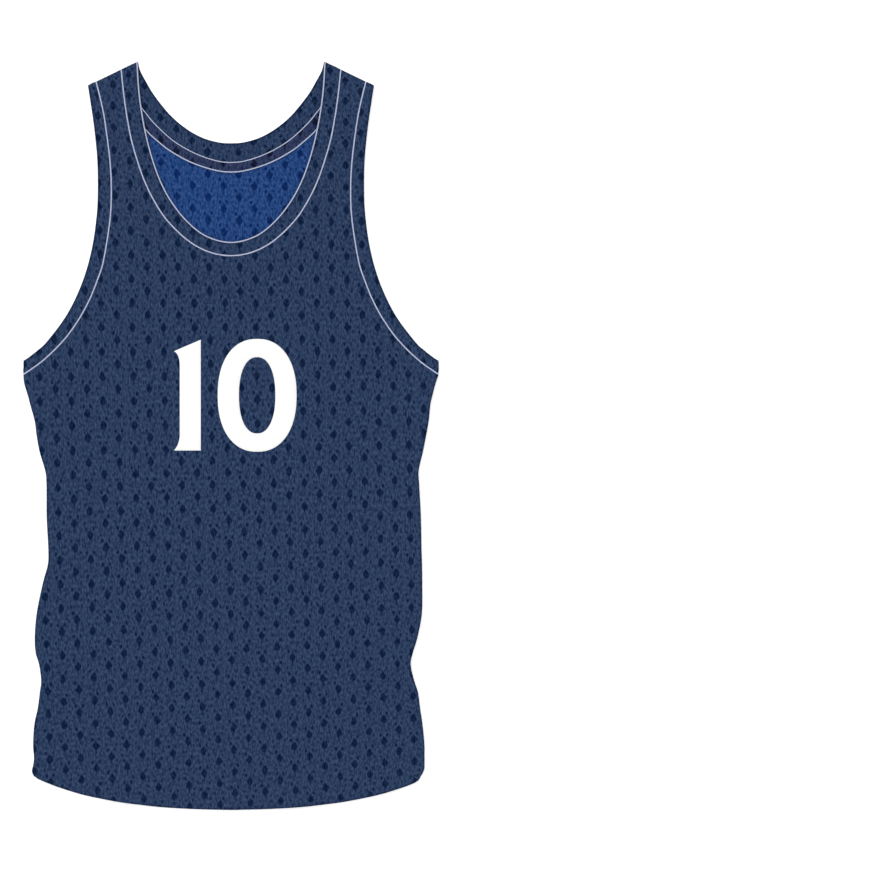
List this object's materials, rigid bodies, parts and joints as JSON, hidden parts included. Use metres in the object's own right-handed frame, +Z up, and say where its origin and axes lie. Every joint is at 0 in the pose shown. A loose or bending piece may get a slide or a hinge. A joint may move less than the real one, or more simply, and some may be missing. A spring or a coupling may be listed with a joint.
{
  "type": "training bib",
  "caption": "Sleeveless mesh training bib laid flat, with bound neck and armholes, a curved hem and its front lying on its back.",
  "frame": {"origin": "middle of the garment's outline, on the surface that it lies on", "axes": "+X towards the wearer's left side, +Y from the hem to the shoulders, +Z up, out of the front"},
  "size_m": [0.416, 0.7464, 0.0081],
  "materials": {
    "mesh": "navy knitted mesh with small dark drops, matt with a slight sheen",
    "band": "the same navy mesh, folded double",
    "tape": "dark navy woven tape",
    "inside": "bright blue wrong side of the mesh",
    "thread": "white seam thread",
    "film": "white heat-pressed film, satin"
  },
  "bodies": {
    "root": {"front_panel": "mesh", "back_panel": "mesh", "front_neckband": "band", "back_neckband": "band", "back_neck_tape": "tape", "armhole_band_left": "band", "armhole_band_right": "band"}
  },
  "joints": []
}
